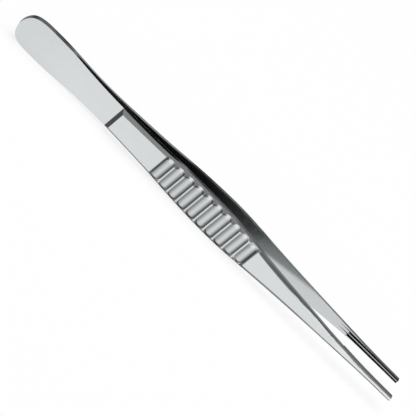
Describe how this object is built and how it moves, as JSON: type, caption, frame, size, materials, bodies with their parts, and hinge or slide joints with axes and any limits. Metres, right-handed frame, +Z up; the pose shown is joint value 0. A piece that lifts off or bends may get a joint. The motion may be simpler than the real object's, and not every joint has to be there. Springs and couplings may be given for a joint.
{
  "type": "thumb forceps",
  "caption": "Thumb forceps of springy steel blades joined face to face at the heel, with ribbed grips, a tapering front and slim, fine-toothed jaws.",
  "frame": {"origin": "on the surface that the forceps lies on, below the middle of its length and of its opening", "axes": "+X from the heel to the tips, +Y across the opening towards the blade with two rows of teeth, +Z up, along the width of the blades"},
  "size_m": [0.15, 0.0116, 0.0108],
  "materials": {
    "satin_steel": "satin stainless steel, with finely brushed ribs and smoother inner faces and jaws"
  },
  "bodies": {
    "root": {"two_row_blade": "satin_steel", "single_row_blade": "satin_steel"}
  },
  "joints": []
}
